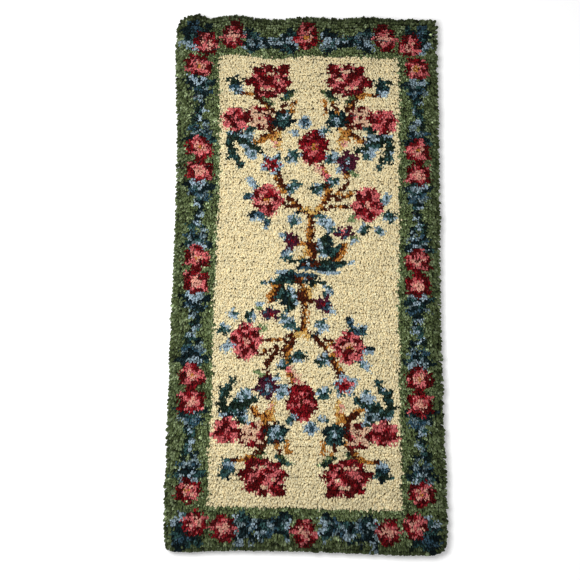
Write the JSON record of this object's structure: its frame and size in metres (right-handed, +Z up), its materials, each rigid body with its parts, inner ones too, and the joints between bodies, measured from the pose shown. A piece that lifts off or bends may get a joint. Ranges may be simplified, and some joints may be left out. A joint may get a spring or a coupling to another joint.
{
  "type": "latch hook rug",
  "caption": "Rectangular latch hook rug lying flat: stiff open canvas with a thick cut-yarn pile, cream field of sprays and a green rose border.",
  "frame": {"origin": "middle of the rug's underside, on the surface it lies on", "axes": "+X across the width, +Y along the length from the end that the pile leans towards to the far end, +Z up"},
  "size_m": [0.602, 1.2226, 0.024],
  "materials": {
    "canvas": "stiffened open cotton canvas, matte",
    "yarn": "cut wool rug yarn in many colours, matte and fluffy"
  },
  "bodies": {
    "root": {"canvas": "canvas", "pile": "yarn"}
  },
  "joints": []
}
